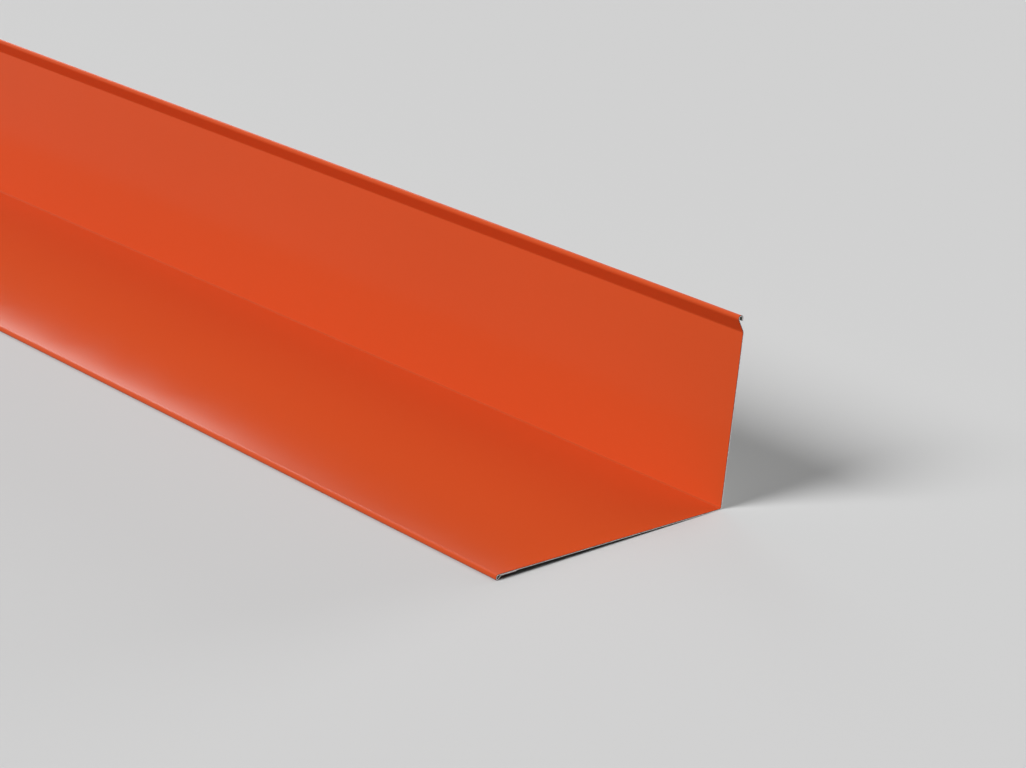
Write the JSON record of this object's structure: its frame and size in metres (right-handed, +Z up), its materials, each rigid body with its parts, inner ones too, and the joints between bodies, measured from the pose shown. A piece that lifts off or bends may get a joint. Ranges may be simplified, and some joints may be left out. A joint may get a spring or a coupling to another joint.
{
  "type": "wall flashing",
  "caption": "Folded coil-coated steel strip for the joint of roof and wall: wide roof leg with a hemmed drip nose, wall leg with a sealant lip.",
  "frame": {"origin": "on the floor that the strip stands on, under the middle of its bounding box, halfway along the strip", "axes": "+X along the strip, +Y towards the wall, +Z up"},
  "size_m": [2, 0.1634, 0.1049],
  "materials": {
    "coil_coated_steel": "semi-gloss orange-red coil coating on galvanised steel, bare cut edges"
  },
  "bodies": {
    "root": {"wall_flashing": "coil_coated_steel"}
  },
  "joints": []
}
